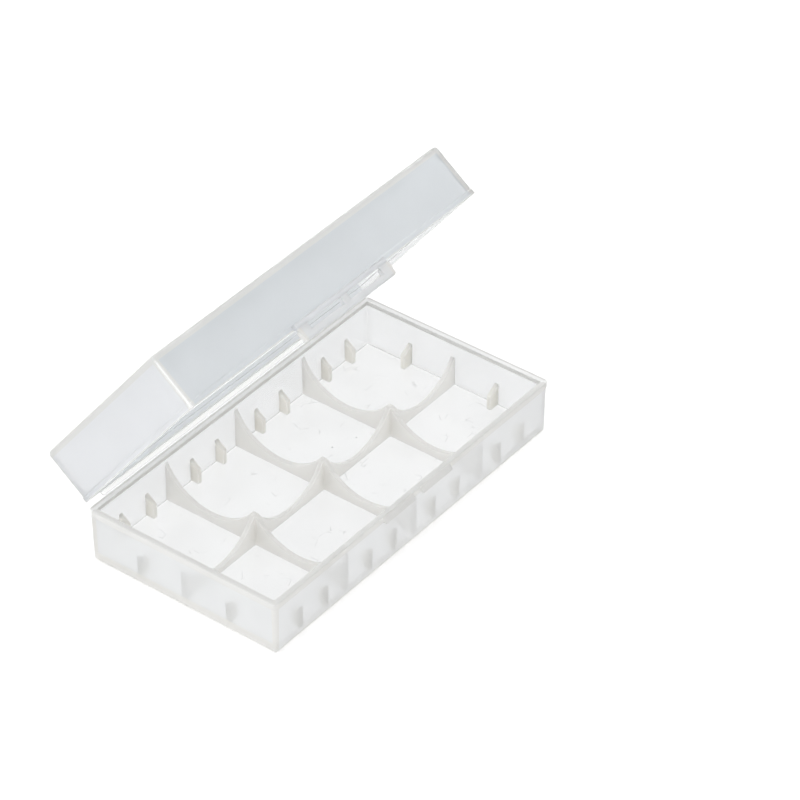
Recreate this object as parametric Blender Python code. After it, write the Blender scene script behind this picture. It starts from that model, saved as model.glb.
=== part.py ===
"""Translucent storage case for cells: a divided base tray and a hinged lid with a snap latch.

Metres, +Z up. The origin is on the underside, in its middle. +X runs along the case and the latch faces -Y.
The lid is at rest part open, on a living hinge along the back. The lid's own frame has its origin on the
fold, -Y towards the latch and +Z towards the roof, as the shut lid lies.
"""

import math

import bmesh
import bpy

MM = 0.001

# Outside of the case, over the bands that run round both rims
CASE_LENGTH = 142 * MM
CASE_DEPTH = 76 * MM
BASE_HEIGHT = 21 * MM
LID_HEIGHT = 20 * MM
CORNER_RADIUS = 1.5 * MM
PANEL_EDGE_RADIUS = 1.2 * MM
SHARPEST_RADIUS = 0.3 * MM

# Walls
WALL = 1.7 * MM
FLOOR = 3.2 * MM
ROOF = 1.6 * MM
BASE_DRAFT = 0.45 * MM
LID_DRAFT = 0.1 * MM
BAND_PROUD = 0.28 * MM
BASE_BAND_HEIGHT = 1.7 * MM
LID_BAND_HEIGHT = 2 * MM
RIM_EDGE = 0.2 * MM
INNER_CORNER_RADIUS = 0.8 * MM
PANEL_FILLET = 0.5 * MM
ROOT_DEPTH = 0.6 * MM

# Dividers, with heights above the underside
BAY_COUNT = 4
DIVIDER_FOOT = 2 * MM
DIVIDER_TOP = 1.6 * MM
PEAK_HEIGHT = 14.7 * MM
CROSS_TIP_HEIGHT = 16.7 * MM
CROSS_SCOOP_HEIGHT = 5.9 * MM
CENTRE_TIP_HEIGHT = 14 * MM
CENTRE_SCOOP_HEIGHT = 5 * MM

# Stop ribs that keep the cells off the walls
RIB_THICKNESS = 1.9 * MM
RIB_PITCH = 12.7 * MM
RIB_SHIFT = 1.05 * MM
RIB_DEPTH = 3.1 * MM
END_RIB_DEPTH = 3.9 * MM
RIB_TOP_HEIGHT = 10.6 * MM
RIB_NOSE_HEIGHT = 8.4 * MM

# Living hinge along the back, in two leaves
OPEN_ANGLE = math.radians(52.6)
PARTING_GAP = 0.3 * MM
FOLD_REACH = 1.9 * MM
LEAF_LENGTH = 125.2 * MM
LEAF_THICKNESS = 0.5 * MM
LEAF_GAP = 0.3 * MM
LEAF_TIP_SHARE = 0.6

# Latch on the lid, with heights from the parting plane
LATCH_CLEARANCE = 0.3 * MM
LATCH_THICKNESS = 1.8 * MM
LATCH_EDGE_RADIUS = 1 * MM
LATCH_ROOT_TOP = 1.5 * MM
LATCH_END_POST = 4.6 * MM
LATCH_MIDDLE_POST = 3 * MM
WINDOW_WIDTH = 16.4 * MM
WINDOW_TOP = -0.35 * MM
WINDOW_BOTTOM = -2.75 * MM
LATCH_BOTTOM = -5.2 * MM
WEB_GAP = 0.3 * MM

# Catch tabs on the base, which sit in the latch's windows
TAB_SIDE_CLEARANCE = 0.7 * MM
TAB_SEAT_CLEARANCE = 0.2 * MM
TAB_PROUD = 1.25 * MM
TAB_TOP_DROP = 0.5 * MM
TAB_LIP = 0.4 * MM

CORNER_STEPS = 5
EDGE_STEPS = 4
SCOOP_STEPS = 18

FOLD_Y = CASE_DEPTH / 2 + FOLD_REACH
LATCH_WIDTH = 2 * LATCH_END_POST + 2 * WINDOW_WIDTH + LATCH_MIDDLE_POST
LATCH_INNER = FOLD_REACH + CASE_DEPTH + LATCH_CLEARANCE
LATCH_OUTER = LATCH_INNER + LATCH_THICKNESS
LATCH_AXIS_HEIGHT = WINDOW_TOP - WEB_GAP / 2
WINDOW_CENTRE = (LATCH_MIDDLE_POST + WINDOW_WIDTH) / 2


def clear_scene():
    for thing in list(bpy.data.objects):
        bpy.data.objects.remove(thing)


def plastic(name, colour, roughness):
    material = bpy.data.materials.new(name)
    material.use_nodes = True
    shader = material.node_tree.nodes["Principled BSDF"]
    shader.inputs["Base Color"].default_value = (*colour, 1)
    shader.inputs["Roughness"].default_value = roughness
    shader.inputs["Metallic"].default_value = 0
    return material


def object_from(mesh, name, material=None, parent=None):
    """An object from a bmesh, faces turned outwards and round stretches shaded smooth."""
    bmesh.ops.recalc_face_normals(mesh, faces=mesh.faces)
    data = bpy.data.meshes.new(name)
    mesh.to_mesh(data)
    mesh.free()
    data.shade_smooth()
    data.set_sharp_from_angle(angle=math.radians(35))
    thing = bpy.data.objects.new(name, data)
    if material:
        data.materials.append(material)
    thing.parent = parent
    bpy.context.collection.objects.link(thing)
    return thing


def hinge_empty(name, place, turn, parent=None):
    empty = bpy.data.objects.new(name, None)
    empty.location = place
    empty.rotation_euler = (turn, 0, 0)
    empty.parent = parent
    bpy.context.collection.objects.link(empty)
    return empty


def unite(body, added):
    """Moulds one object into another and keeps it out of renders."""
    added.hide_render = True
    added.display_type = "WIRE"
    union = body.modifiers.new(added.name, "BOOLEAN")
    union.operation = "UNION"
    union.solver = "EXACT"
    union.object = added


def wall_inset(height, draft, at):
    """How far the outer wall's face lies inside the rim band, at a distance from the panel's outside."""
    return BAND_PROUD + draft * (1 - at / height)


def inner_inset(at):
    """How far the tray's inner wall face lies inside the rim band, at a height above the underside."""
    return wall_inset(BASE_HEIGHT, BASE_DRAFT, at) + WALL


def ring(inset, radius, at):
    """A rounded rectangle of points, set in from the band's outside."""
    half_x = CASE_LENGTH / 2 - inset - radius
    half_y = CASE_DEPTH / 2 - inset - radius
    points = []
    for corner, (side_x, side_y) in enumerate(((1, 1), (-1, 1), (-1, -1), (1, -1))):
        for step in range(CORNER_STEPS + 1):
            angle = math.pi / 2 * (corner + step / CORNER_STEPS)
            x = side_x * half_x + radius * math.cos(angle)
            y = side_y * half_y + radius * math.sin(angle)
            points.append((x, y, at))
    return points


def shell_rings(height, panel, draft, band_height):
    """Rings from the panel's outside up the outer wall, over the rim and down the inside."""
    rim = height - PARTING_GAP / 2
    rim_width = wall_inset(height, draft, height) + WALL

    def outer(inset, at):
        return ring(inset, max(CORNER_RADIUS - inset, SHARPEST_RADIUS), at)

    def inner(inset, at):
        radius = INNER_CORNER_RADIUS - (inset - rim_width)
        return ring(inset, max(radius, SHARPEST_RADIUS), at)

    edge_inset = wall_inset(height, draft, PANEL_EDGE_RADIUS)
    fillet_inset = wall_inset(height, draft, panel + PANEL_FILLET) + WALL
    turns = [math.pi / 2 * step / EDGE_STEPS for step in range(EDGE_STEPS + 1)]
    rings = []
    for turn in turns:
        inset = edge_inset + PANEL_EDGE_RADIUS * (1 - math.sin(turn))
        rings.append(outer(inset, PANEL_EDGE_RADIUS * (1 - math.cos(turn))))
    band_foot = height - band_height
    rings.append(outer(wall_inset(height, draft, band_foot), band_foot))
    rings.append(outer(0, band_foot))
    rings.append(outer(0, rim - RIM_EDGE))
    rings.append(outer(RIM_EDGE, rim))
    rings.append(inner(rim_width - RIM_EDGE, rim))
    rings.append(inner(rim_width, rim - RIM_EDGE))
    for turn in reversed(turns):
        inset = fillet_inset + PANEL_FILLET * (1 - math.sin(turn))
        rings.append(inner(inset, panel + PANEL_FILLET * (1 - math.cos(turn))))
    return rings


def loft(rings):
    """A closed skin through rings of as many points each, with a face over the first and the last."""
    mesh = bmesh.new()
    rows = [[mesh.verts.new(point) for point in points] for points in rings]
    for row, after in zip(rows, rows[1:]):
        for i, corner in enumerate(row):
            nxt = (i + 1) % len(row)
            mesh.faces.new((corner, row[nxt], after[nxt], after[i]))
    mesh.faces.new(rows[0])
    mesh.faces.new(rows[-1])
    return mesh


def add_plate(mesh, outline, middle, half_width, along_x=False):
    """A plate with an outline of (place, height) points, standing across X, or across Y if it runs along X.

    half_width gives half its thickness at a height.
    """
    sides = []
    for side in (-1, 1):
        row = []
        for place, height in outline:
            across = middle + side * half_width(height)
            point = (place, across, height) if along_x else (across, place, height)
            row.append(mesh.verts.new(point))
        sides.append(row)
        mesh.faces.new(row)
    left, right = sides
    for i, corner in enumerate(left):
        nxt = (i + 1) % len(left)
        mesh.faces.new((corner, left[nxt], right[nxt], right[i]))


def arc(centre, radius, start, end, steps):
    """Points on an arc, from a start to an end angle in quarter turns."""
    points = []
    for step in range(steps + 1):
        angle = math.pi / 2 * (start + (end - start) * step / steps)
        points.append((centre[0] + radius * math.cos(angle), centre[1] + radius * math.sin(angle)))
    return points


def scoop(start, end, lowest):
    """Points from start to end along the circle through both that just reaches down to a lowest height."""
    span = end[0] - start[0]
    near = start[1] - lowest
    far = end[1] - lowest
    rise = (far - near) / near
    reach = (far - near) * far + span * span
    foot = reach / (span + math.sqrt(span * span + rise * reach))
    radius = (foot * foot + near * near) / (2 * near)
    first = math.atan2(near - radius, -foot)
    last = math.atan2(far - radius, span - foot)
    points = []
    for step in range(SCOOP_STEPS + 1):
        angle = first + (last - first) * step / SCOOP_STEPS
        place = start[0] + foot + radius * math.cos(angle)
        points.append((place, lowest + radius + radius * math.sin(angle)))
    return points


def divider_half_width(height):
    share = (height - FLOOR) / (PEAK_HEIGHT - FLOOR)
    return (DIVIDER_FOOT + (DIVIDER_TOP - DIVIDER_FOOT) * share) / 2


def rib_half_width(_height):
    return RIB_THICKNESS / 2


def tab_half_width(_height):
    return WINDOW_WIDTH / 2 - TAB_SIDE_CLEARANCE


def divider_outline(reach, tip_height, scoops):
    """A divider's outline between two opposite walls: its foot is sunk in the floor and its ends in the walls."""
    sunk = FLOOR - ROOT_DEPTH
    foot = reach - inner_inset(sunk) + ROOT_DEPTH
    tip = reach - inner_inset(tip_height) + ROOT_DEPTH
    return [(tip, tip_height), (foot, sunk), (-foot, sunk), (-tip, tip_height), *scoops]


def bay_pitch():
    """The step between cross dividers that gives all bays the same clear width."""
    clear = CASE_LENGTH - 2 * inner_inset(BASE_HEIGHT)
    return (clear + (DIVIDER_FOOT + DIVIDER_TOP) / 2) / BAY_COUNT


def cross_dividers():
    """Dividers from the front wall to the back wall, each with two scoops and a peak between them."""
    wall = CASE_DEPTH / 2 - inner_inset(CROSS_TIP_HEIGHT)
    tip = (wall, CROSS_TIP_HEIGHT)
    half = scoop((0, PEAK_HEIGHT), tip, CROSS_SCOOP_HEIGHT)
    mirrored = [(-place, height) for place, height in reversed(half)]
    outline = divider_outline(CASE_DEPTH / 2, CROSS_TIP_HEIGHT, mirrored + half[1:])
    mesh = bmesh.new()
    for number in range(1, BAY_COUNT):
        middle = (number - BAY_COUNT / 2) * bay_pitch()
        add_plate(mesh, outline, middle, divider_half_width)
    return object_from(mesh, "cross_dividers")


def centre_divider():
    """The divider along the case, with a scoop in each bay."""
    wall = CASE_LENGTH / 2 - inner_inset(CENTRE_TIP_HEIGHT)
    peaks = [((number - BAY_COUNT / 2) * bay_pitch(), PEAK_HEIGHT) for number in range(1, BAY_COUNT)]
    stations = [(-wall, CENTRE_TIP_HEIGHT), *peaks, (wall, CENTRE_TIP_HEIGHT)]
    scoops = [stations[0]]
    for start, end in zip(stations, stations[1:]):
        scoops += scoop(start, end, CENTRE_SCOOP_HEIGHT)[1:]
    mesh = bmesh.new()
    outline = divider_outline(CASE_LENGTH / 2, CENTRE_TIP_HEIGHT, scoops)
    add_plate(mesh, outline, 0, divider_half_width, along_x=True)
    return object_from(mesh, "centre_divider")


def rib_outline(side, reach, depth):
    """A stop rib's outline on the wall at one side, sunk in that wall and in the floor."""
    sunk = FLOOR - ROOT_DEPTH
    nose = reach - inner_inset(RIB_TOP_HEIGHT) - depth
    top = reach - inner_inset(RIB_TOP_HEIGHT)
    foot = reach - inner_inset(sunk)
    points = [
        (nose, sunk),
        (foot + ROOT_DEPTH, sunk),
        (top + ROOT_DEPTH, RIB_TOP_HEIGHT),
        (top, RIB_TOP_HEIGHT),
        (nose, RIB_NOSE_HEIGHT),
    ]
    return [(side * place, height) for place, height in points]


def stop_ribs():
    """Two ribs in each bay on the long walls, set a little towards the case's middle, and one in each half of the end walls."""
    mesh = bmesh.new()
    for side in (-1, 1):
        outline = rib_outline(side, CASE_DEPTH / 2, RIB_DEPTH)
        for number in range(BAY_COUNT):
            bay = (number - (BAY_COUNT - 1) / 2) * bay_pitch()
            bay -= math.copysign(RIB_SHIFT, bay)
            for step in (-1, 1):
                add_plate(mesh, outline, bay + step * RIB_PITCH / 2, rib_half_width)
        end_outline = rib_outline(side, CASE_LENGTH / 2, END_RIB_DEPTH)
        inner = CASE_DEPTH / 2 - inner_inset(BASE_HEIGHT)
        for step in (-1, 1):
            add_plate(mesh, end_outline, step * inner / 2, rib_half_width, along_x=True)
    return object_from(mesh, "stop_ribs")


def catch_tabs():
    """Two wedges on the front wall, which the latch's windows drop over."""
    band = -CASE_DEPTH / 2
    top = BASE_HEIGHT - TAB_TOP_DROP
    seat = BASE_HEIGHT + WINDOW_BOTTOM + TAB_SEAT_CLEARANCE
    sunk = band + wall_inset(BASE_HEIGHT, BASE_DRAFT, seat) + ROOT_DEPTH
    outline = [(sunk, top), (band, top), (band - TAB_PROUD, seat + TAB_LIP), (band - TAB_PROUD, seat), (sunk, seat)]
    mesh = bmesh.new()
    for side in (-1, 1):
        add_plate(mesh, outline, side * WINDOW_CENTRE, tab_half_width)
    return object_from(mesh, "catch_tabs")


def base_tray():
    mesh = loft(shell_rings(BASE_HEIGHT, FLOOR, BASE_DRAFT, BASE_BAND_HEIGHT))
    tray = object_from(mesh, "base_tray", plastic("clear_plastic_base", (0.83, 0.84, 0.82), 0.32))
    for added in (cross_dividers(), centre_divider(), stop_ribs(), catch_tabs()):
        unite(tray, added)
    return tray


def hinge_leaf(name, start, level, away, material, parent=None):
    """One leaf of the living hinge, from a wall to just short of the fold at an offset of zero.

    Its flat face lies towards the other leaf, and it thins towards the fold. away is the side it thickens to.
    """
    tip = math.copysign(PARTING_GAP / 2, start)
    thick = away * LEAF_THICKNESS
    outline = [(start, level), (tip, level), (tip, level + thick * LEAF_TIP_SHARE), (start, level + thick)]
    mesh = bmesh.new()
    add_plate(mesh, outline, 0, lambda _height: LEAF_LENGTH / 2)
    return object_from(mesh, name, material, parent)


def latch_root():
    """The strip that the latch hangs from, moulded onto the middle of the lid's front band."""
    sunk = -(FOLD_REACH + CASE_DEPTH - ROOT_DEPTH)
    step = PARTING_GAP / 2 + RIM_EDGE
    corner = (-LATCH_OUTER + LATCH_EDGE_RADIUS, LATCH_ROOT_TOP - LATCH_EDGE_RADIUS)
    outline = [
        (sunk, LATCH_ROOT_TOP),
        *arc(corner, LATCH_EDGE_RADIUS, 1, 2, EDGE_STEPS),
        (-LATCH_OUTER, WINDOW_TOP),
        (-LATCH_INNER, WINDOW_TOP),
        (-LATCH_INNER, step),
        (sunk, step),
    ]
    mesh = bmesh.new()
    add_plate(mesh, outline, 0, lambda _height: LATCH_WIDTH / 2)
    return mesh


def lid(hinge):
    """The lid's shell, turned over into its own frame."""
    rings = shell_rings(LID_HEIGHT, ROOF, LID_DRAFT, LID_BAND_HEIGHT)
    mesh = loft([[(x, y - FOLD_Y, LID_HEIGHT - z) for x, y, z in points] for points in rings])
    cover = object_from(mesh, "lid", plastic("clear_plastic_lid", (0.8, 0.82, 0.83), 0.35), hinge)
    unite(cover, object_from(latch_root(), "latch_root", parent=hinge))
    return cover


def latch_flap(hinge):
    """A bar that hangs on three flexing webs, with the windows between them, in the frame of its own fold."""
    lift = -LATCH_AXIS_HEIGHT
    foot = LATCH_BOTTOM + lift
    bar_top = WINDOW_BOTTOM + lift
    corner = (LATCH_EDGE_RADIUS, foot + LATCH_EDGE_RADIUS)
    outline = [
        (0, bar_top),
        *arc(corner, LATCH_EDGE_RADIUS, 2, 3, EDGE_STEPS),
        (LATCH_THICKNESS, foot),
        (LATCH_THICKNESS, bar_top),
    ]
    bar = bmesh.new()
    add_plate(bar, outline, 0, lambda _height: LATCH_WIDTH / 2)
    flap = object_from(bar, "latch_flap", plastic("clear_plastic_latch", (0.74, 0.76, 0.76), 0.35), hinge)

    web_top = WINDOW_TOP - WEB_GAP + lift
    web_foot = bar_top - ROOT_DEPTH
    web = [(0, web_foot), (LATCH_THICKNESS, web_foot), (LATCH_THICKNESS, web_top), (0, web_top)]
    webs = bmesh.new()
    add_plate(webs, web, 0, lambda _height: LATCH_MIDDLE_POST / 2)
    for side in (-1, 1):
        middle = side * (LATCH_WIDTH - LATCH_END_POST) / 2
        add_plate(webs, web, middle, lambda _height: LATCH_END_POST / 2)
    unite(flap, object_from(webs, "latch_webs", parent=hinge))
    return flap


clear_scene()
hinge_plastic = plastic("clear_plastic_hinge", (0.86, 0.87, 0.86), 0.3)
base_tray()
base_hinge = hinge_empty("base_hinge_axis", (0, FOLD_Y, BASE_HEIGHT), 0)
hinge_leaf("rear_hinge_base_leaf", -FOLD_REACH + LEAF_GAP, -PARTING_GAP / 2, -1, hinge_plastic, base_hinge)
lid_hinge = hinge_empty("lid_hinge_axis", (0, FOLD_Y, BASE_HEIGHT), -OPEN_ANGLE)
hinge_leaf("rear_hinge_lid_leaf", -FOLD_REACH + LEAF_GAP, PARTING_GAP / 2, 1, hinge_plastic, lid_hinge)
lid(lid_hinge)
latch_hinge = hinge_empty("latch_hinge_axis", (0, -LATCH_OUTER, LATCH_AXIS_HEIGHT), 0, lid_hinge)
latch_flap(latch_hinge)
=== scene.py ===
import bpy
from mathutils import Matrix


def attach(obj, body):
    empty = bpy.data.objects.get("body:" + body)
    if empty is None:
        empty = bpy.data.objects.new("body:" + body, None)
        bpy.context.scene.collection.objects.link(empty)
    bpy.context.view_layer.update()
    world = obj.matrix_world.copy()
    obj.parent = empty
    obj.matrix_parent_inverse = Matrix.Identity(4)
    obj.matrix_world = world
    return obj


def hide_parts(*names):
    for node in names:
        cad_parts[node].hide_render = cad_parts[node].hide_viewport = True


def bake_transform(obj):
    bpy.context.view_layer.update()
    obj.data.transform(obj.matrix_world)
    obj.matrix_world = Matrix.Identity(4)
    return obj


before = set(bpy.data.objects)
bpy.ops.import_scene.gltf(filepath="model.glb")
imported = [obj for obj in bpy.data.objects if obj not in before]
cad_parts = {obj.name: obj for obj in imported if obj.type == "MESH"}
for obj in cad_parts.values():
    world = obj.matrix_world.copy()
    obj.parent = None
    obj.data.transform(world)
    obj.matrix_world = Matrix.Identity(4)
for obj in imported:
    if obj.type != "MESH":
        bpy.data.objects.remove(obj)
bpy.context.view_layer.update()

import math

import bmesh
import bpy
from mathutils import Matrix, Vector

mm = 0.001
touch = 0.01 * mm  # places nearer than this are the same
graze = 0.002 * mm  # and a slice this near to a vertex goes through it

# what the tray and the lid share; length and depth are over the bands round both rims
caseShape = {
    "length": 142 * mm,
    "depth": 76 * mm,
    "wall": 1.7 * mm,
    "innerCornerRadius": 0.8 * mm,
    "sharpestRadius": 0.3 * mm,
    "edgeRadius": 1.5 * mm,
    "fillet": 0.3 * mm,  # between the walls and the panel, inside
    "bandProud": 0.28 * mm,
    "bandLead": 0.6 * mm,  # where the wall's finish ends, below the band
    "bandSoft": 0.2 * mm,  # half the height of the soft step out to the band
    "rimRadius": 0.32 * mm,
    "rimCrown": 0.015 * mm,
    "rimFront": 0.2 * mm,  # the strip of the rim's front that looks like an edge
    "partingGap": 0.3 * mm,
    "openAngle": 52.6,
    "cornerSteps": 6,
    "edgeSteps": 6,
    "rimSteps": 4,
    "weld": 0.6 * mm,  # how deep one moulded form is sunk in the next
    "squareOn": 0.7,  # a wall's normal along x or y above which it looks that way
    "rounded": 0.2,  # and both of them above this on a corner
}

# zones of a moulding, which are also its material slots in the order of its looks; wall, end and rear are one
# plastic in lit and shaded copies by the way it faces, which is painted light and shade
zone = {"wall": 0, "panel": 1, "inside": 2, "rim": 3, "edge": 4, "end": 5, "rear": 6, "foot": 7, "lip": 8}
gridZone = {"divider": 0, "rib": 1}
latchZone = {"bar": 0, "tip": 1}

shading = {
    "broadArea": 20 * mm * mm,  # a face this large stays flat
    "flatArea": 1.5 * mm * mm,  # and so does one this large that isn't a narrow strip
    "strip": 0.7 * mm,
    "crease": 40,
}


def newPiece(bm, name, finishes):
    mesh = bpy.data.meshes.new(name)
    bm.to_mesh(mesh)
    bm.free()
    for finish in finishes:
        mesh.materials.append(finish)
    piece = bpy.data.objects.new(name, mesh)
    bpy.context.collection.objects.link(piece)
    return piece


def mouldTogether(piece, added):
    # joins the added form to the piece and leaves no skin between them
    union = piece.modifiers.new(added.name, "BOOLEAN")
    union.operation = "UNION"
    union.solver = "EXACT"
    union.material_mode = "INDEX"
    union.object = added
    bpy.context.view_layer.update()
    depsgraph = bpy.context.evaluated_depsgraph_get()
    joined = bpy.data.meshes.new_from_object(piece.evaluated_get(depsgraph))
    joined.name = piece.name
    piece.modifiers.clear()
    piece.data = joined
    bpy.data.objects.remove(added)


def shadeByShape(piece):
    # broad flats stay flat, and only the narrow rounds between them are smooth
    bm = bmesh.new()
    bm.from_mesh(piece.data)
    for face in bm.faces:
        shortest = min(edge.calc_length() for edge in face.edges)
        area = face.calc_area()
        flat = shortest > shading["strip"] and area > shading["flatArea"]
        face.smooth = not (flat or area > shading["broadArea"])
    bm.to_mesh(piece.data)
    bm.free()
    piece.data.set_sharp_from_angle(angle=math.radians(shading["crease"]))


def setZone(faces, number):
    for face in faces:
        face.material_index = number


def vertsOf(items):
    return [item for item in items if isinstance(item, bmesh.types.BMVert)]


def sliceAt(bm, place, way):
    bmesh.ops.bisect_plane(
        bm, geom=bm.verts[:] + bm.edges[:] + bm.faces[:], dist=graze, plane_co=place, plane_no=way)


def bevelEdges(bm, edges, radius, steps):
    return bmesh.ops.bevel(
        bm, geom=edges, offset=radius, offset_type="OFFSET", affect="EDGES",
        segments=steps, profile=0.5, material=-1)


def boxBetween(bm, width, back, front, foot, top):
    verts = bmesh.ops.create_cube(bm, size=1)["verts"]
    bmesh.ops.scale(bm, verts=verts, vec=(width, back - front, top - foot))
    bmesh.ops.translate(bm, verts=verts, vec=(0, (back + front) / 2, (foot + top) / 2))
    return verts


def noise(nodes, links, place, scale, detail=2):
    made = nodes.new("ShaderNodeTexNoise")
    made.inputs["Scale"].default_value = scale
    made.inputs["Detail"].default_value = detail
    links.new(place, made.inputs["Vector"])
    return made


def mapRange(nodes, links, value, low, high, start=0, end=1):
    made = nodes.new("ShaderNodeMapRange")
    for socket, number in (("From Min", low), ("From Max", high), ("To Min", start), ("To Max", end)):
        made.inputs[socket].default_value = number
    links.new(value, made.inputs["Value"])
    return made


def combine(nodes, links, operation, *values):
    # a maths node, whose values are sockets or plain numbers
    made = nodes.new("ShaderNodeMath")
    made.operation = operation
    for slot, value in zip(made.inputs, values):
        if isinstance(value, bpy.types.NodeSocket):
            links.new(value, slot)
        else:
            slot.default_value = value
    return made.outputs["Value"]


def bump(nodes, links, height, strength, depth, under=None):
    made = nodes.new("ShaderNodeBump")
    made.inputs["Strength"].default_value = strength
    made.inputs["Distance"].default_value = depth
    links.new(height, made.inputs["Height"])
    if under:
        links.new(under, made.inputs["Normal"])
    return made.outputs["Normal"]


plastic = {
    "ior": 1.49,
    "cloudScale": 55,  # slow flow marks of the melt
    "cloudRange": (0.25, 0.75),
    "sinkScale": 140,  # shallow sink of the thin walls
    "sinkStrength": 0.02,
    "sinkDepth": 0.4 * mm,
    "grainScale": 1500,  # the mould's fine spark-eroded grain
    "grainDepth": 0.05 * mm,
}


def clearPlastic(name, look):
    finish = bpy.data.materials.new(name)
    finish.use_nodes = True
    nodes = finish.node_tree.nodes
    links = finish.node_tree.links
    shader = nodes["Principled BSDF"]
    shader.inputs["IOR"].default_value = plastic["ior"]
    shader.inputs["Roughness"].default_value = look["blur"]
    shader.inputs["Transmission Weight"].default_value = look["clearness"]
    if "milk" in look:
        shader.inputs["Subsurface Weight"].default_value = look["milk"]
        shader.inputs["Subsurface Radius"].default_value = (1, 1, 1)
        shader.inputs["Subsurface Scale"].default_value = look["milkDepth"]
    place = nodes.new("ShaderNodeTexCoord").outputs["Object"]

    cloud = noise(nodes, links, place, plastic["cloudScale"], detail=1)
    spread = mapRange(nodes, links, cloud.outputs["Fac"], *plastic["cloudRange"])
    spread.interpolation_type = "SMOOTHSTEP"
    tint = nodes.new("ShaderNodeMix")
    tint.data_type = "RGBA"
    tint.inputs["A"].default_value = (*[c * (1 - look["cloud"]) for c in look["colour"]], 1)
    tint.inputs["B"].default_value = (*look["colour"], 1)
    links.new(spread.outputs["Result"], tint.inputs["Factor"])
    colour = tint.outputs["Result"]
    if "marks" in look:
        colour = addMarks(nodes, links, place, colour, look["marks"])
    links.new(colour, shader.inputs["Base Color"])

    ripple = noise(nodes, links, place, plastic["sinkScale"], detail=1)
    sink = bump(nodes, links, ripple.outputs["Fac"], plastic["sinkStrength"], plastic["sinkDepth"])
    grain = noise(nodes, links, place, plastic["grainScale"])
    relief = bump(nodes, links, grain.outputs["Fac"], look["grain"], plastic["grainDepth"], under=sink)
    links.new(relief, shader.inputs["Normal"])
    return finish


floorMarks = {
    "colour": (0.12, 0.13, 0.12),
    "scratch": 0.3,
    "hairScale": 150,
    "hairWidth": (0.006, 0.026),
    "wanderScale": 90,
    "wander": 0.006,
    "patchScale": 170,
    "patchRange": (0.57, 0.66),
    "speck": 0.6,
    "dustScale": 110,
    "dustSize": (0.03, 0.055),
    "dustShare": 0.75,  # of the specks' places that stay empty
}


def addMarks(nodes, links, place, colour, marks):
    # hairline scratches and stray specks, the same through the whole thickness
    flat = nodes.new("ShaderNodeMapping")
    flat.inputs["Scale"].default_value = (1, 1, 0)
    links.new(place, flat.inputs["Vector"])
    flat = flat.outputs["Vector"]

    wander = noise(nodes, links, flat, marks["wanderScale"])
    bend = nodes.new("ShaderNodeVectorMath")
    bend.operation = "MULTIPLY_ADD"
    bend.inputs[1].default_value = (marks["wander"], marks["wander"], 0)
    links.new(wander.outputs["Color"], bend.inputs[0])
    links.new(flat, bend.inputs[2])
    crack = nodes.new("ShaderNodeTexVoronoi")
    crack.feature = "DISTANCE_TO_EDGE"
    crack.inputs["Scale"].default_value = marks["hairScale"]
    links.new(bend.outputs["Vector"], crack.inputs["Vector"])
    hair = mapRange(nodes, links, crack.outputs["Distance"], *marks["hairWidth"], start=1, end=0)
    patch = noise(nodes, links, flat, marks["patchScale"], detail=3)
    sparse = mapRange(nodes, links, patch.outputs["Fac"], *marks["patchRange"])
    scratch = combine(nodes, links, "MULTIPLY", hair.outputs["Result"], sparse.outputs["Result"])

    dust = nodes.new("ShaderNodeTexVoronoi")
    dust.inputs["Scale"].default_value = marks["dustScale"]
    links.new(flat, dust.inputs["Vector"])
    dot = mapRange(nodes, links, dust.outputs["Distance"], *marks["dustSize"], start=1, end=0)
    chance = nodes.new("ShaderNodeSeparateColor")
    links.new(dust.outputs["Color"], chance.inputs["Color"])
    chosen = combine(nodes, links, "GREATER_THAN", chance.outputs["Red"], marks["dustShare"])
    speck = combine(nodes, links, "MULTIPLY", dot.outputs["Result"], chosen)

    amounts = [
        combine(nodes, links, "MULTIPLY", scratch, marks["scratch"]),
        combine(nodes, links, "MULTIPLY", speck, marks["speck"]),
    ]
    marked = nodes.new("ShaderNodeMix")
    marked.data_type = "RGBA"
    marked.inputs["B"].default_value = (*marks["colour"], 1)
    links.new(combine(nodes, links, "MAXIMUM", *amounts), marked.inputs["Factor"])
    links.new(colour, marked.inputs["A"])
    return marked.outputs["Result"]


# the wall, end and rear looks are the same plastic given its own colour and clearness for each side it faces:
# painted light and shade for how each side is lit
trayLooks = {
    "wall": {"colour": (0.88, 0.888, 0.893), "clearness": 0.5, "blur": 0.28, "cloud": 0.03, "grain": 0.2},
    "panel": {
        "colour": (0.885, 0.891, 0.892), "clearness": 1, "blur": 0.17, "cloud": 0.05, "grain": 0.15,
        "marks": floorMarks,
    },
    "inside": {"colour": (0.975, 0.98, 0.98), "clearness": 1, "blur": 0.15, "cloud": 0.015, "grain": 0.2},
    "rim": {"colour": (0.792, 0.788, 0.771), "clearness": 0.2, "blur": 0.3, "cloud": 0.02, "grain": 0.2},
    "edge": {"colour": (0.818, 0.811, 0.785), "clearness": 0.35, "blur": 0.3, "cloud": 0.02, "grain": 0.2},
    "end": {"colour": (0.805, 0.815, 0.82), "clearness": 0.45, "blur": 0.28, "cloud": 0.03, "grain": 0.2},
    "rear": {"colour": (0.93, 0.94, 0.955), "clearness": 0.75, "blur": 0.2, "cloud": 0.02, "grain": 0.2},
    "foot": {"colour": (0.845, 0.84, 0.817), "clearness": 0.4, "blur": 0.3, "cloud": 0.02, "grain": 0.2},
    # lip is a light, milky strip on the far rims' inner rounding: painted light over the shade the rims get there
    "lip": {"colour": (0.965, 0.967, 0.96), "clearness": 0.15, "blur": 0.3, "cloud": 0.02, "grain": 0.2},
}
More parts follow.
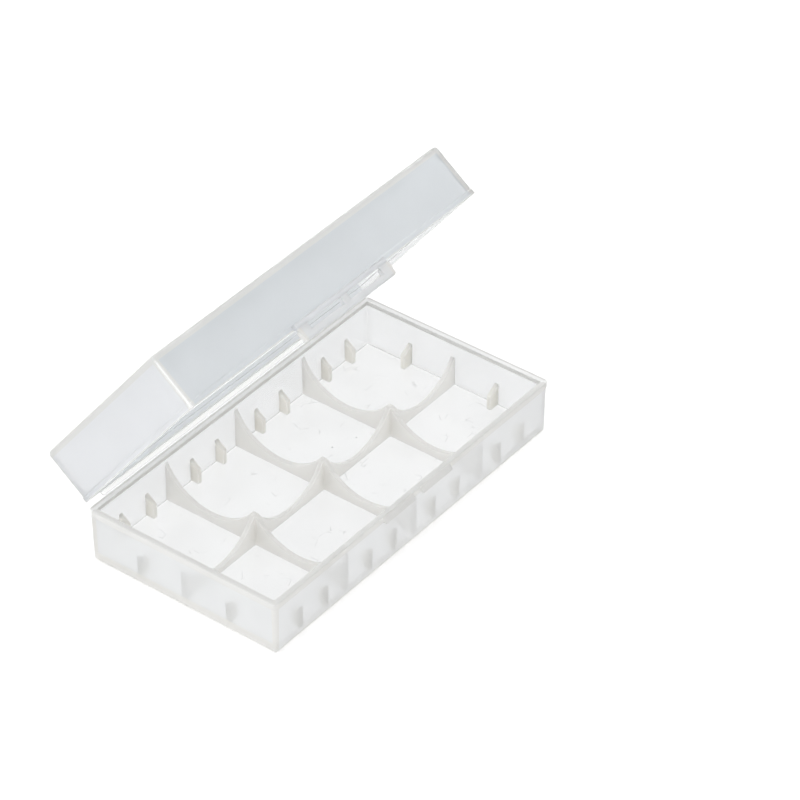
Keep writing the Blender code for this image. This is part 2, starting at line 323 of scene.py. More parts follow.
# the lid's wall look is darker and bluer than its end look, painted shade for the front, which gets less of the
# light from the left; its rear look is lighter and clearer, painted light
lidLooks = {
    "wall": {"colour": (0.723, 0.757, 0.78), "clearness": 0.6, "blur": 0.28, "cloud": 0.03, "grain": 0.2},
    "panel": {"colour": (0.92, 0.935, 0.945), "clearness": 0.7, "blur": 0.28, "cloud": 0.02, "grain": 0.2},
    "inside": {"colour": (0.95, 0.96, 0.97), "clearness": 0.95, "blur": 0.25, "cloud": 0.015, "grain": 0.2},
    "rim": {"colour": (0.985, 0.98, 0.965), "clearness": 0.35, "blur": 0.25, "cloud": 0.02, "grain": 0.1},
    "edge": {"colour": (0.83, 0.83, 0.805), "clearness": 0.5, "blur": 0.3, "cloud": 0.02, "grain": 0.2},
    "end": {"colour": (0.86, 0.87, 0.89), "clearness": 0.6, "blur": 0.28, "cloud": 0.03, "grain": 0.2},
    "rear": {"colour": (0.95, 0.955, 0.96), "clearness": 0.85, "blur": 0.2, "cloud": 0.02, "grain": 0.2},
}
gridLooks = {
    "divider": {
        "colour": (0.652, 0.634, 0.597), "clearness": 0, "blur": 0.4, "cloud": 0.03, "grain": 0.1,
        "milk": 1, "milkDepth": 14 * mm,
    },
    "rib": {
        "colour": (0.765, 0.75, 0.705), "clearness": 0, "blur": 0.4, "cloud": 0.03, "grain": 0.1,
        "milk": 1, "milkDepth": 3 * mm,
    },
}
# the tip look is a painted highlight on the latch's ends
latchLooks = {
    "bar": {"colour": (0.87, 0.878, 0.887), "clearness": 0.6, "blur": 0.28, "cloud": 0.02, "grain": 0.2},
    "tip": {"colour": (0.9, 0.89, 0.865), "clearness": 0.35, "blur": 0.3, "cloud": 0.02, "grain": 0.2},
}


def finishesOf(piece, looks):
    return [clearPlastic(piece + "Plastic_" + name, look) for name, look in looks.items()]


trayFinishes = finishesOf("tray", trayLooks)
lidFinishes = finishesOf("lid", lidLooks)
gridFinishes = finishesOf("grid", gridLooks)
latchFinishes = finishesOf("latch", latchLooks)
print("finishes made")


trayShape = {
    "height": 21 * mm, "panel": 3.2 * mm, "draft": 0.45 * mm, "band": 2.3 * mm, "cornerRadius": 1.8 * mm,
    "border": 2 * mm, "rightBorder": 1.2 * mm, "leftFoot": 4.1 * mm, "frontFoot": 1.6 * mm,
    "backBorder": 3 * mm, "backRim": 0, "backBand": 0, "farLightStrip": (0.8 * mm, 2.1 * mm),
    "bandZone": "rim", "cornerZone": "edge", "sideZone": "edge", "footZone": "foot",
}
lidShape = {
    "height": 20 * mm, "panel": 1.6 * mm, "draft": 0.1 * mm, "band": 2 * mm, "cornerRadius": 1.2 * mm,
    "border": 1.9 * mm, "rightBorder": 2.5 * mm, "leftFoot": 2.2 * mm, "frontFoot": 2.2 * mm,
    "backBorder": 1.5 * mm, "backRim": 2.4 * mm, "backBand": 3.2 * mm, "farLightStrip": (0, 0),
    "bandZone": "wall", "cornerZone": "rim", "sideZone": "edge", "footZone": "edge",
}


def wallInset(shape, level):
    return caseShape["bandProud"] + shape["draft"] * (1 - level / shape["height"])


def shellStations(shape):
    # (inset from the band, corner radius, level, zone) from the outside of the panel to its inside
    stations = []
    rim = shape["height"] - caseShape["partingGap"] / 2
    rimWidth = wallInset(shape, shape["height"]) + caseShape["wall"]

    def outer(inset, level, name):
        stations.append((inset, max(shape["cornerRadius"] - inset, caseShape["sharpestRadius"]), level, name))

    def inner(inset, level, name):
        radius = caseShape["innerCornerRadius"] - (inset - rimWidth)
        stations.append((inset, max(radius, caseShape["sharpestRadius"]), level, name))

    edge = caseShape["edgeRadius"]
    edgeInset = wallInset(shape, edge)
    quarter = [math.pi / 2 * step / caseShape["edgeSteps"] for step in range(caseShape["edgeSteps"] + 1)]
    for turn in quarter:
        outer(edgeInset + edge * (1 - math.sin(turn)), edge * (1 - math.cos(turn)), "wall")
    foot = shape["height"] - shape["band"]
    lead = foot - caseShape["bandLead"]
    outer(wallInset(shape, lead), lead, "wall")
    soft = caseShape["bandSoft"]
    wall = wallInset(shape, foot)
    # an S-shaped step from the wall out to the band
    bend = ((wall, -soft), (wall - 0.15 * soft, -soft / 2), (soft / 2, 0), (0.1 * soft, 0.4 * soft), (0, soft))
    for inset, rise in bend:
        outer(inset, foot + rise, shape["bandZone"])
    radius = caseShape["rimRadius"]
    steps = caseShape["rimSteps"]
    for step in range(steps + 1):
        turn = math.pi / 2 * step / steps
        level = rim - radius + radius * math.sin(turn)
        outer(radius * (1 - math.cos(turn)), level, "rim" if step else shape["bandZone"])
    outer(rimWidth / 2, rim + caseShape["rimCrown"], "rim")
    for step in range(steps + 1):
        turn = math.pi / 2 * (1 - step / steps)
        inner(rimWidth - radius * (1 - math.cos(turn)), rim - radius + radius * math.sin(turn), "rim")
    fillet = caseShape["fillet"]
    filletInset = wallInset(shape, shape["panel"] + fillet) + caseShape["wall"]
    for turn in reversed(quarter):
        level = shape["panel"] + fillet * (1 - math.cos(turn))
        inner(filletInset + fillet * (1 - math.sin(turn)), level, "inside")
    return stations


def roundedPlate(bm, inset, radius, level):
    corners = bmesh.ops.create_grid(bm, x_segments=1, y_segments=1, size=0.5)["verts"]
    bmesh.ops.scale(bm, verts=corners, vec=(caseShape["length"] - 2 * inset, caseShape["depth"] - 2 * inset, 1))
    bmesh.ops.translate(bm, verts=corners, vec=(0, 0, level))
    rounded = bmesh.ops.bevel(
        bm, geom=corners, offset=radius, offset_type="OFFSET", affect="VERTICES",
        segments=caseShape["cornerSteps"], profile=0.5, material=-1)
    return rounded["verts"][0].link_faces[0]


def shellMesh(shape):
    bm = bmesh.new()
    stations = shellStations(shape)
    plates = [roundedPlate(bm, inset, radius, level) for inset, radius, level, name in stations]
    for near, far, (*size, name) in zip(plates, plates[1:], stations[1:]):
        skin = bmesh.ops.bridge_loops(bm, edges=near.edges[:] + far.edges[:])["faces"]
        setZone(skin, zone[name])
    setZone(plates[:1], zone["inside"])
    setZone(plates[-1:], zone["panel"])
    bmesh.ops.delete(bm, geom=plates[1:-1], context="FACES_ONLY")
    bmesh.ops.recalc_face_normals(bm, faces=bm.faces[:])
    markEdges(bm, shape)
    return bm


def markEdges(bm, shape):
    # a border of every outer wall, as wide as the plastic that is seen end on behind it
    halfLength = caseShape["length"] / 2
    halfDepth = caseShape["depth"] / 2
    left = shape["border"] - halfLength
    right = halfLength - shape["rightBorder"]
    front = shape["border"] - halfDepth
    back = halfDepth - shape["backBorder"]
    backBand = shape["height"] - shape["backBand"]
    for x in (left, right):
        sliceAt(bm, (x, 0, 0), (1, 0, 0))
    for y in (front, back):
        sliceAt(bm, (0, y, 0), (0, 1, 0))
    for z in (shape["leftFoot"], shape["frontFoot"], backBand):
        sliceAt(bm, (0, 0, z), (0, 0, 1))
    for face in bm.faces:
        middle = face.calc_center_median()
        if face.material_index == zone["rim"]:
            farInset = min(halfDepth - middle.y, halfLength - middle.x)
            # a strip of the far rims' inner rounding takes the light lip look, which is painted light
            if shape["farLightStrip"][0] < farInset < shape["farLightStrip"][1]:
                face.material_index = zone["lip"]
            elif middle.y < caseShape["rimFront"] - halfDepth or middle.y > halfDepth - shape["backRim"]:
                face.material_index = zone["edge"]
        if face.material_index == zone["wall"]:
            face.material_index = zone[wallZone(shape, face.normal, middle)]


def wallZone(shape, normal, middle):
    # by the way a wall's face points, which picks lit and shaded copies of one plastic, painted light and shade, and
    # by how near it is to the wall's border
    squareOn = caseShape["squareOn"]
    facing = Vector((normal.x, normal.y)).normalized()
    if facing.y > squareOn and middle.z > shape["height"] - shape["backBand"]:
        return "wall"
    if max(facing) > squareOn:
        # the walls facing +X and +Y take the rear look, lighter and clearer: painted light
        return "rear" if middle.z > caseShape["edgeRadius"] else "inside"
    if middle.z < shape["frontFoot" if facing.y < -squareOn else "leftFoot"]:
        return shape["footZone"]
    # the rounded corner at the front left takes the corner look, which on the lid is the bright rim look: a painted
    # highlight along the corner
    if min(abs(facing.x), abs(facing.y)) > caseShape["rounded"]:
        return shape["cornerZone"] if middle.x < 0 and middle.y < 0 else "edge"
    if facing.y < -squareOn:
        left = shape["border"] - caseShape["length"] / 2
        right = caseShape["length"] / 2 - shape["rightBorder"]
        return "wall" if left < middle.x < right else "edge"
    front = shape["border"] - caseShape["depth"] / 2
    back = caseShape["depth"] / 2 - shape["backBorder"]
    return "end" if front < middle.y < back else shape["sideZone"]


dividerShape = {
    "bays": 4,
    "foot": 2 * mm,
    "top": 1.6 * mm,
    "peak": 15 * mm,
    "post": 0.8 * mm,
    "crossTip": 16.7 * mm,
    "crossScoop": 5.9 * mm,
    "centreTip": 14 * mm,
    "centreScoop": 5 * mm,
    "crossing": 2.6 * mm,  # how far a crossing's knob and ridges reach from its middle
    "crossingEase": 0.2 * mm,  # and how softly they are rounded
    "crossingFillet": 0.6 * mm,
    "knobBlunt": 0.05 * mm,
    "topRound": 0.3 * mm,
    "spacing": 1 * mm,  # between the slices that the scoops are bent from
    "fineSlices": (0.25 * mm, 0.45 * mm, 1.25 * mm, 1.5 * mm, 1.8 * mm, 2.1 * mm, 2.5 * mm),
}


def insideInset(level):
    return wallInset(trayShape, level) + caseShape["wall"]


insideLength = caseShape["length"] - 2 * insideInset(trayShape["height"])
bayPitch = (insideLength + (dividerShape["foot"] + dividerShape["top"]) / 2) / dividerShape["bays"]
crossMiddles = [(number - dividerShape["bays"] / 2) * bayPitch for number in range(1, dividerShape["bays"])]


def nearestCross(x):
    return min(crossMiddles, key=lambda middle: abs(middle - x))


def scoopCircle(start, end, lowest):
    # middle and radius of the circle through two points that just reaches down to the lowest height
    span = end[0] - start[0]
    near = start[1] - lowest
    far = end[1] - lowest
    rise = (far - near) / near
    reach = (far - near) * far + span * span
    foot = reach / (span + math.sqrt(span * span + rise * reach))
    radius = (foot * foot + near * near) / (2 * near)
    return start[0] + foot, lowest + radius, radius


def scoopHeight(circle, place):
    middle, level, radius = circle
    return level - math.sqrt(max(radius * radius - (place - middle) ** 2, 0))


post = dividerShape["post"]
peak = dividerShape["peak"]
crossTip = (caseShape["depth"] / 2 - insideInset(dividerShape["crossTip"]), dividerShape["crossTip"])
crossScoop = scoopCircle((post, peak), crossTip, dividerShape["crossScoop"])
centreWall = caseShape["length"] / 2 - insideInset(dividerShape["centreTip"])
scoopStarts = [(-centreWall, dividerShape["centreTip"]), *[(middle + post, peak) for middle in crossMiddles]]
scoopEnds = [*[(middle - post, peak) for middle in crossMiddles], (centreWall, dividerShape["centreTip"])]
centreScoops = [
    (start[0], end[0], scoopCircle(start, end, dividerShape["centreScoop"]))
    for start, end in zip(scoopStarts, scoopEnds)]


def crossHeight(y):
    return scoopHeight(crossScoop, max(abs(y), post))


def centreHeight(x):
    start, end, circle = centreScoops[sum(x > middle for middle in crossMiddles)]
    return scoopHeight(circle, min(max(x, start), end))


def dividerHeight(x, y):
    if abs(y) > dividerShape["crossing"]:
        return crossHeight(y)
    if abs(x - nearestCross(x)) > dividerShape["crossing"]:
        return centreHeight(x)
    ease = dividerShape["crossingEase"]
    heights = (crossHeight(y), centreHeight(x), peak - dividerShape["knobBlunt"])
    lowest = min(heights)
    return lowest - ease * math.log(sum(math.exp(-(height - lowest) / ease) for height in heights))


def dividerPlan(bm, linesX, linesY, level):
    # the dividers seen from above: a grid with its lines moved into place and the bays taken out
    columns = len(linesX) - 1
    rows = len(linesY) - 1
    bmesh.ops.create_grid(bm, x_segments=columns, y_segments=rows, size=1)
    bays = []
    for face in bm.faces:
        middle = face.calc_center_median()
        column = int((middle.x + 1) / 2 * columns)
        row = int((middle.y + 1) / 2 * rows)
        if column % 2 == 0 and row != 1:
            bays.append(face)
    bmesh.ops.delete(bm, geom=bays, context="FACES")
    for vert in bm.verts:
        column = round((vert.co.x + 1) / 2 * columns)
        row = round((vert.co.y + 1) / 2 * rows)
        vert.co = (linesX[column], linesY[row], level)
    bmesh.ops.dissolve_faces(bm, faces=bm.faces[:], use_verts=False)


def sliceDividers(bm, reachX, reachY):
    # rows of vertices for the scooped tops, closer together where dividers cross
    spacing = dividerShape["spacing"]
    crossing = dividerShape["crossing"]
    fine = [0, *[side * step for step in dividerShape["fineSlices"] for side in (-1, 1)]]
    last = int(reachX / spacing)
    cutsX = [step * spacing for step in range(-last, last + 1)]
    cutsX = [x for x in cutsX if abs(x - nearestCross(x)) > crossing]
    cutsX += [middle + step for middle in crossMiddles for step in fine]
    steps = range(math.ceil(crossing / spacing), int(reachY / spacing) + 1)
    cutsY = [side * step * spacing for step in steps for side in (-1, 1)] + fine
    for cut in cutsX:
        sliceAt(bm, (cut, 0, 0), (1, 0, 0))
    for cut in cutsY:
        sliceAt(bm, (0, cut, 0), (0, 1, 0))


def dividerMesh():
    bm = bmesh.new()
    sunk = trayShape["panel"] - caseShape["weld"]
    half = dividerShape["foot"] / 2
    reachX = caseShape["length"] / 2 - insideInset(peak) + caseShape["weld"]
    reachY = caseShape["depth"] / 2 - insideInset(peak) + caseShape["weld"]
    linesX = [-reachX, *[middle + side * half for middle in crossMiddles for side in (-1, 1)], reachX]
    dividerPlan(bm, linesX, [-reachY, -half, half, reachY], sunk)
    top = vertsOf(bmesh.ops.extrude_face_region(bm, geom=bm.faces[:])["geom"])
    bmesh.ops.translate(bm, verts=top, vec=(0, 0, peak - sunk))
    taper = dividerShape["top"] / dividerShape["foot"]
    for vert in top:
        near = nearestCross(vert.co.x)
        if abs(vert.co.x - near) < half + touch:
            vert.co.x = near + (vert.co.x - near) * taper
        if abs(vert.co.y) < half + touch:
            vert.co.y *= taper
    bmesh.ops.holes_fill(bm, edges=[edge for edge in bm.edges if edge.is_boundary], sides=0)
    bmesh.ops.recalc_face_normals(bm, faces=bm.faces[:])

    upright = []
    for edge in bm.edges:
        a, b = edge.verts[0].co, edge.verts[1].co
        inWall = max(abs(a.x), abs(b.x)) > reachX - mm or max(abs(a.y), abs(b.y)) > reachY - mm
        if abs(a.z - b.z) > mm and not inWall:
            upright.append(edge)
    bevelEdges(bm, upright, dividerShape["crossingFillet"], steps=5)
    lip = [edge for edge in bm.edges if min(vert.co.z for vert in edge.verts) > peak - touch]
    bevelEdges(bm, lip, dividerShape["topRound"], steps=3)
    sliceDividers(bm, reachX, reachY)
    for vert in bm.verts:
        if vert.co.z > peak - dividerShape["topRound"] - touch:
            vert.co.z += dividerHeight(vert.co.x, vert.co.y) - peak
    bmesh.ops.triangulate(bm, faces=[face for face in bm.faces if len(face.verts) > 4])
    bmesh.ops.recalc_face_normals(bm, faces=bm.faces[:])
    setZone(bm.faces, gridZone["divider"])
    return bm


ribShape = {
    "thickness": 1.9 * mm,
    "pitch": 12.7 * mm,
    "shift": 1.05 * mm,  # towards the case's middle
    "depth": 3.1 * mm,
    "endDepth": 3.9 * mm,
    "root": 1.1 * mm,  # sunk in the wall
    "top": 10.6 * mm,
    "nose": 8.4 * mm,
    "round": 0.4 * mm,
}


def addRib(bm, place, turn, depth):
    # place is on the wall's inside at the rib's top, and turn 0 makes the rib stand towards -Y
    sunk = trayShape["panel"] - caseShape["weld"]
    verts = boxBetween(bm, ribShape["thickness"], ribShape["root"], -depth, sunk, ribShape["top"])
    slope = (ribShape["top"] - ribShape["nose"]) / depth
    for vert in verts:
        if vert.co.z > ribShape["nose"]:
            vert.co.z = ribShape["top"] + vert.co.y * slope  # the top falls straight from the wall to the nose
    bmesh.ops.rotate(bm, verts=verts, cent=(0, 0, 0), matrix=Matrix.Rotation(turn, 3, "Z"))
    bmesh.ops.translate(bm, verts=verts, vec=(*place, 0))
    edges = list({edge for vert in verts for edge in vert.link_edges})
    bevelEdges(bm, edges, ribShape["round"], steps=3)


def addRibs(bm):
    dividers = set(bm.faces)
    wallY = caseShape["depth"] / 2 - insideInset(ribShape["top"])
    wallX = caseShape["length"] / 2 - insideInset(ribShape["top"])
    middleY = (caseShape["depth"] / 2 - insideInset(trayShape["height"])) / 2
    for side in (-1, 1):
        facing = 0 if side == 1 else math.pi
        for number in range(dividerShape["bays"]):
            bay = (number - (dividerShape["bays"] - 1) / 2) * bayPitch
            bay -= math.copysign(ribShape["shift"], bay)
            for step in (-1, 1):
                addRib(bm, (bay + step * ribShape["pitch"] / 2, side * wallY), facing, ribShape["depth"])
        for step in (-1, 1):
            addRib(bm, (side * wallX, step * middleY), -side * math.pi / 2, ribShape["endDepth"])
    setZone([face for face in bm.faces if face not in dividers], gridZone["rib"])


latchShape = {
    "clearance": 0.3 * mm,
    "thickness": 1.8 * mm,
    "edgeRadius": 1 * mm,
    "rootTop": 1.5 * mm,
    "endPost": 4.6 * mm,
    "middlePost": 3 * mm,
    "window": 16.4 * mm,
    "windowTop": -0.35 * mm,
    "windowFoot": -2.75 * mm,
    "foot": -5.2 * mm,
    "softEdge": 0.4 * mm,
    # how far in from each end the latch's painted highlight reaches
    "tip": 1.3 * mm,
    "foldThickness": 0.7 * mm,
    "foldFoot": -0.95 * mm,  # the webs are thinned down to here, on the inside, where they bend
    "webSlices": (-0.45 * mm, -0.55 * mm, -0.7 * mm, -0.95 * mm, -1.3 * mm),
    "webGap": 0.02 * mm,
    "ledge": 0.2 * mm,
    "ledgeSoft": 0.12 * mm,
    "sharp": 40,  # an edge that turns by more than this is rounded
}
tabShape = {
    "side": 0.7 * mm,
    "seat": 0.2 * mm,
    "proud": 1.25 * mm,
    "drop": 0.5 * mm,
    "lip": 0.4 * mm,
    "round": 0.15 * mm,
}
windowMiddle = (latchShape["middlePost"] + latchShape["window"]) / 2
latchWidth = 2 * latchShape["endPost"] + 2 * latchShape["window"] + latchShape["middlePost"]


def tabMesh():
    # two wedges on the front band, which the latch's windows drop over
    bm = bmesh.new()
    band = -caseShape["depth"] / 2
    top = trayShape["height"] - tabShape["drop"]
    seat = trayShape["height"] + latchShape["windowFoot"] + tabShape["seat"]
    root = wallInset(trayShape, seat) + caseShape["weld"]
    width = latchShape["window"] - 2 * tabShape["side"]
    for side in (-1, 1):
        verts = boxBetween(bm, width, band + root, band - tabShape["proud"], seat, top)
        bmesh.ops.translate(bm, verts=verts, vec=(side * windowMiddle, 0, 0))
        high = [vert for vert in verts if vert.co.y < band and vert.co.z > top - touch]
        ridge = [edge for edge in high[0].link_edges if edge.other_vert(high[0]) in high]
        for vert in bevelEdges(bm, ridge, tabShape["lip"], steps=1)["verts"]:
            if vert.co.z > top - touch:
                vert.co.y = band
            else:
                vert.co.z = seat + tabShape["lip"]
    front = [edge for edge in bm.edges if max(vert.co.y for vert in edge.verts) < band + touch]
    bevelEdges(bm, front, tabShape["round"], steps=2)
    setZone(bm.faces, zone["rim"])
    return bm


baseTray = newPiece(shellMesh(trayShape), "trayMoulding", trayFinishes)
mouldTogether(baseTray, newPiece(tabMesh(), "tabs", trayFinishes))
shadeByShape(baseTray)
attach(baseTray, "base")
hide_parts("base_tray")
print("tray made:", len(baseTray.data.polygons), "faces")

# the same moulding's thick milky parts, whose roots lie inside the clear floor and walls
gridMesh = dividerMesh()
addRibs(gridMesh)
grid = newPiece(gridMesh, "trayGrid", gridFinishes)
shadeByShape(grid)
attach(grid, "base")
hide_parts("base_tray")
print("dividers and ribs made:", len(grid.data.polygons), "faces")


foldReach = 1.9 * mm
foldY = caseShape["depth"] / 2 + foldReach
lidTurn = Matrix.Rotation(math.radians(-caseShape["openAngle"]), 4, "X")
lidPlace = Matrix.Translation((0, foldY, trayShape["height"])) @ lidTurn
latchInner = -(foldReach + caseShape["depth"] + latchShape["clearance"])
latchOuter = latchInner - latchShape["thickness"]


def onLid(reach, level):
    # a point of the case's middle plane, from its distance in front of the fold and its height on the shut lid
    return lidPlace @ Vector((0, -reach, level))


def roundLatchEdges(bm, level, soft):
    # the outer edge at this level gets the full round and every other one a soft one
    outer = []
    for edge in bm.edges:
        if all(vert.co.y < latchOuter + touch and abs(vert.co.z - level) < touch for vert in edge.verts):
            outer.append(edge)
    bevelEdges(bm, outer, latchShape["edgeRadius"], steps=6)
    least = math.radians(latchShape["sharp"])
    sharp = [edge for edge in bm.edges if len(edge.link_faces) == 2 and edge.calc_face_angle() > least]
    bevelEdges(bm, sharp, soft, steps=2)


def lidMesh():
    bm = shellMesh(lidShape)
    bmesh.ops.scale(bm, verts=bm.verts[:], vec=(1, 1, -1))
    bmesh.ops.translate(bm, verts=bm.verts[:], vec=(0, -foldY, lidShape["height"]))
    bmesh.ops.recalc_face_normals(bm, faces=bm.faces[:])
    return bm


def latchRootMesh():
    # the strip on the front band that the latch hangs from: a ledge that reaches out, with a lip pulled down from it
    bm = bmesh.new()
    sunk = -(foldReach + caseShape["depth"] - caseShape["weld"])
    ledge = caseShape["partingGap"] / 2 + latchShape["ledge"]
    boxBetween(bm, latchWidth, sunk, latchOuter, ledge, latchShape["rootTop"])
    sliceAt(bm, (0, latchInner, 0), (0, 1, 0))
    lip = []
    for face in bm.faces:
        if face.normal.z < -caseShape["squareOn"] and face.calc_center_median().y < latchInner:
            lip.append(face)
    pulled = vertsOf(bmesh.ops.extrude_face_region(bm, geom=lip)["geom"])
    bmesh.ops.translate(bm, verts=pulled, vec=(0, 0, latchShape["windowTop"] - ledge))
    bmesh.ops.delete(bm, geom=[face for face in lip if face.is_valid], context="FACES_ONLY")
    bmesh.ops.dissolve_limit(bm, angle_limit=math.radians(1), verts=bm.verts[:], edges=bm.edges[:])
    bmesh.ops.recalc_face_normals(bm, faces=bm.faces[:])
    roundLatchEdges(bm, latchShape["rootTop"], latchShape["ledgeSoft"])
    # the ledge takes the lid's lighter end look rather than its wall look: painted light on the strip above the
    # latch
    setZone(bm.faces, zone["end"])
    return bm


lid = newPiece(lidMesh(), "lidMoulding", lidFinishes)
mouldTogether(lid, newPiece(latchRootMesh(), "latchRoot", lidFinishes))
lid.data.transform(lidPlace)
shadeByShape(lid)
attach(lid, "lid")
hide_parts("lid")
print("lid made:", len(lid.data.polygons), "faces")


def markHighlightedEnds(bm):
    # both ends of the latch take the lighter cream tip look: a painted highlight on its ends
    edge = latchWidth / 2 - latchShape["tip"]
    for x in (-edge, edge):
        sliceAt(bm, (x, 0, 0), (1, 0, 0))
    for face in bm.faces:
        face.material_index = latchZone["tip" if abs(face.calc_center_median().x) > edge else "bar"]


def latchBarMesh():
    bm = bmesh.new()
    boxBetween(bm, latchWidth, latchInner, latchOuter, latchShape["foot"], latchShape["windowFoot"])
    roundLatchEdges(bm, latchShape["foot"], latchShape["softEdge"])
    markHighlightedEnds(bm)
    return bm


def latchWebMesh():
    bm = bmesh.new()
    top = latchShape["windowTop"] - latchShape["webGap"]
    foot = latchShape["windowFoot"] - caseShape["weld"]
    endPost = latchShape["endPost"]
    endMiddle = (latchWidth - endPost) / 2
    for middle, width in ((-endMiddle, endPost), (0, latchShape["middlePost"]), (endMiddle, endPost)):
        verts = boxBetween(bm, width, latchInner, latchOuter, foot, top)
        bmesh.ops.translate(bm, verts=verts, vec=(middle, 0, 0))
    for level in latchShape["webSlices"]:
        sliceAt(bm, (0, 0, level), (0, 0, 1))
    for vert in bm.verts:
        if vert.co.y > latchInner - touch and vert.co.z > latchShape["foldFoot"] - touch:
            vert.co.y = latchOuter + latchShape["foldThickness"]
    markHighlightedEnds(bm)
    return bm


latch = newPiece(latchBarMesh(), "latchMoulding", latchFinishes)
mouldTogether(latch, newPiece(latchWebMesh(), "latchWebs", latchFinishes))
latch.data.transform(lidPlace)
shadeByShape(latch)
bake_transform(latch)
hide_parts("latch_flap")
print("latch made:", len(latch.data.polygons), "faces")


hingeShape = {
    "length": 125.2 * mm,
    "thickness": 0.26 * mm,
    "crease": 50,
    "reaches": (foldReach - 0.31 * mm, 1.1 * mm, 0.5 * mm),  # of the leaf's bends, from the fold
    "drops": (0.2 * mm, 0.2 * mm, 0.15 * mm),  # and how far inside the rim they lie
    "tip": 0.02 * mm,
}
hingeLook = {"colour": (0.99, 0.99, 0.985), "clearness": 1, "blur": 0.25, "cloud": 0.02, "grain": 0.05}


def hingePath():
    height = trayShape["height"]
    bends = [
        (reach, caseShape["partingGap"] / 2 + drop)
        for reach, drop in zip(hingeShape["reaches"], hingeShape["drops"])]
    base = [Vector((0, foldY - reach, height - drop)) for reach, drop in bends]
    cover = [onLid(reach, drop) for reach, drop in reversed(bends)]
    tip = Vector((0, foldY + hingeShape["tip"], height + hingeShape["tip"]))
    # the tight turn at the fold itself
    fold = [base[-1].lerp(tip, 0.6), tip.lerp(cover[0], 0.1), tip.lerp(cover[0], 0.45)]
    return base + fold + cover


def hingeMesh():
    # a strip from the base's back wall round the fold to the lid's, pulled along its own bent path
    bm = bmesh.new()
    path = hingePath()
    ends = bmesh.ops.create_vert(bm, co=path[0] + Vector((-hingeShape["length"] / 2, 0, 0)))["vert"]
    line = bmesh.ops.extrude_vert_indiv(bm, verts=ends)
    bmesh.ops.translate(bm, verts=line["verts"], vec=(hingeShape["length"], 0, 0))
    edges = line["edges"]
    for near, far in zip(path, path[1:]):
        grown = bmesh.ops.extrude_edge_only(bm, edges=edges)["geom"]
        edges = [item for item in grown if isinstance(item, bmesh.types.BMEdge)]
        bmesh.ops.translate(bm, verts=vertsOf(grown), vec=far - near)
    bmesh.ops.solidify(bm, geom=bm.faces[:], thickness=hingeShape["thickness"])
    bmesh.ops.recalc_face_normals(bm, faces=bm.faces[:])
    return bm


hinge = newPiece(hingeMesh(), "livingHinge", [clearPlastic("hingePlastic", hingeLook)])
hinge.data.shade_smooth()
hinge.data.set_sharp_from_angle(angle=math.radians(hingeShape["crease"]))
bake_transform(hinge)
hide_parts("rear_hinge_base_leaf", "rear_hinge_lid_leaf")
print("hinge made:", len(hinge.data.polygons), "faces")


tableLook = {"colour": (0.92, 0.92, 0.92), "lift": 0.27, "drop": 0.3 * mm, "size": 6}


def tableFinish():
    finish = bpy.data.materials.new("tablePaper")
    finish.use_nodes = True
    nodes = finish.node_tree.nodes
    links = finish.node_tree.links
    paper = nodes["Principled BSDF"]
    paper.inputs["Base Color"].default_value = (*tableLook["colour"], 1)
    paper.inputs["Roughness"].default_value = 1
    paper.inputs["Specular IOR Level"].default_value = 0
    path = nodes.new("ShaderNodeLightPath")
    through = combine(nodes, links, "MAXIMUM", path.outputs["Is Transmission Ray"], path.outputs["Is Glossy Ray"])
    white = nodes.new("ShaderNodeEmission")
    swap = nodes.new("ShaderNodeMixShader")
    links.new(through, swap.inputs["Fac"])
    links.new(paper.outputs["BSDF"], swap.inputs[1])
    links.new(white.outputs["Emission"], swap.inputs[2])
    lift = combine(nodes, links, "MULTIPLY", path.outputs["Is Camera Ray"], tableLook["lift"])
    glow = nodes.new("ShaderNodeEmission")
    links.new(lift, glow.inputs["Strength"])
    both = nodes.new("ShaderNodeAddShader")
    links.new(swap.outputs["Shader"], both.inputs[0])
    links.new(glow.outputs["Emission"], both.inputs[1])
    links.new(both.outputs["Shader"], nodes["Material Output"].inputs["Surface"])
    return finish


tableSheet = bmesh.new()
bmesh.ops.create_grid(tableSheet, x_segments=1, y_segments=1, size=tableLook["size"] / 2)
bmesh.ops.translate(tableSheet, verts=tableSheet.verts[:], vec=(0, 0, -tableLook["drop"]))
table = newPiece(tableSheet, "tableTop", [tableFinish()])

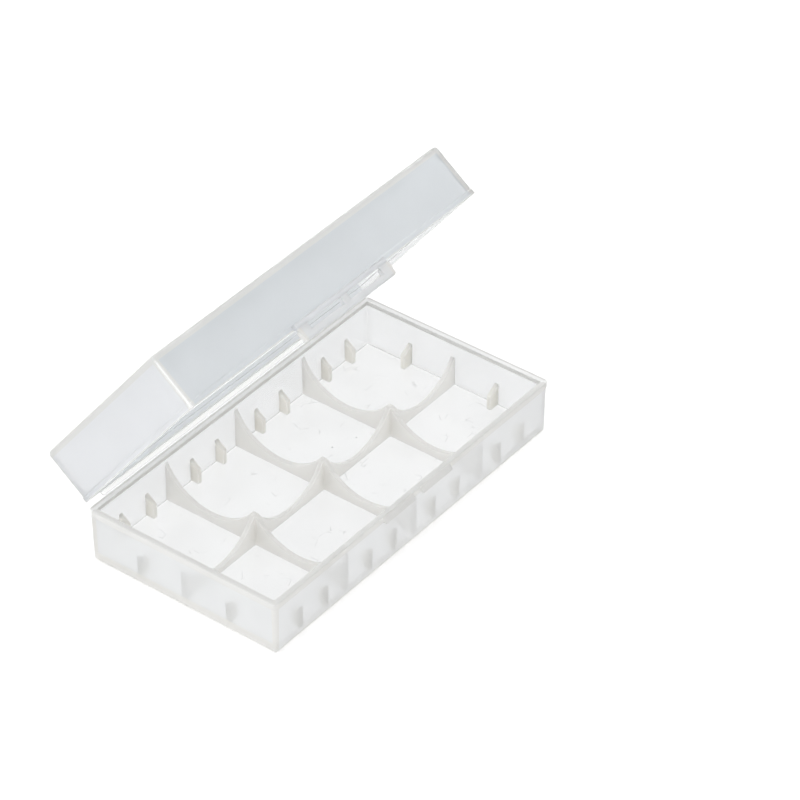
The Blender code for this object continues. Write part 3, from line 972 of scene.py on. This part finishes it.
roomLook = {"key": (-0.85, 0.45, 0.25), "dim": 0.45, "bright": 1.45}


def lightRoom(nodes, links):
    # clear and shiny things see a white room, and dull ones are lit a little more from the left
    back = nodes["Background"]
    back.inputs["Color"].default_value = (1, 1, 1, 1)
    place = nodes.new("ShaderNodeTexCoord")
    facing = nodes.new("ShaderNodeVectorMath")
    facing.operation = "DOT_PRODUCT"
    facing.inputs[1].default_value = roomLook["key"]
    links.new(place.outputs["Generated"], facing.inputs[0])
    level = mapRange(nodes, links, facing.outputs["Value"], -1, 1, roomLook["dim"], roomLook["bright"])
    path = nodes.new("ShaderNodeLightPath")
    dull = combine(nodes, links, "MINIMUM", path.outputs["Diffuse Depth"], 1)
    strength = nodes.new("ShaderNodeMix")
    strength.inputs["A"].default_value = 1
    links.new(dull, strength.inputs["Factor"])
    links.new(level.outputs["Result"], strength.inputs["B"])
    links.new(strength.outputs["Result"], back.inputs["Strength"])


world = bpy.data.worlds.new("softRoom")
world.use_nodes = True
lightRoom(world.node_tree.nodes, world.node_tree.links)
bpy.context.scene.world = world
bpy.context.scene.view_settings.view_transform = "Standard"
paths = bpy.context.scene.cycles  # light is caught inside clear walls for many bounces
paths.max_bounces = 32
paths.blur_glossy = 0
paths.transmission_bounces = 32
paths.glossy_bounces = 24
paths.diffuse_bounces = 12

cameraPlace = {
    "location": (-0.8010, -0.6499, 0.8463),
    "towards": (0.6230, 0.4812, -0.6166),
    "lens": 185.5,
    "sensor": 36,
    "near": 0.01,
    "far": 50,
}
lens = bpy.data.cameras.new("photoCamera")
lens.lens = cameraPlace["lens"]
lens.sensor_width = cameraPlace["sensor"]
lens.clip_start = cameraPlace["near"]
lens.clip_end = cameraPlace["far"]
camera = bpy.data.objects.new("photoCamera", lens)
camera.location = cameraPlace["location"]
camera.rotation_mode = "QUATERNION"
camera.rotation_quaternion = Vector(cameraPlace["towards"]).to_track_quat("-Z", "Y")
bpy.context.collection.objects.link(camera)
bpy.context.scene.camera = camera
print("table, light and camera set")

bpy.context.view_layer.update()
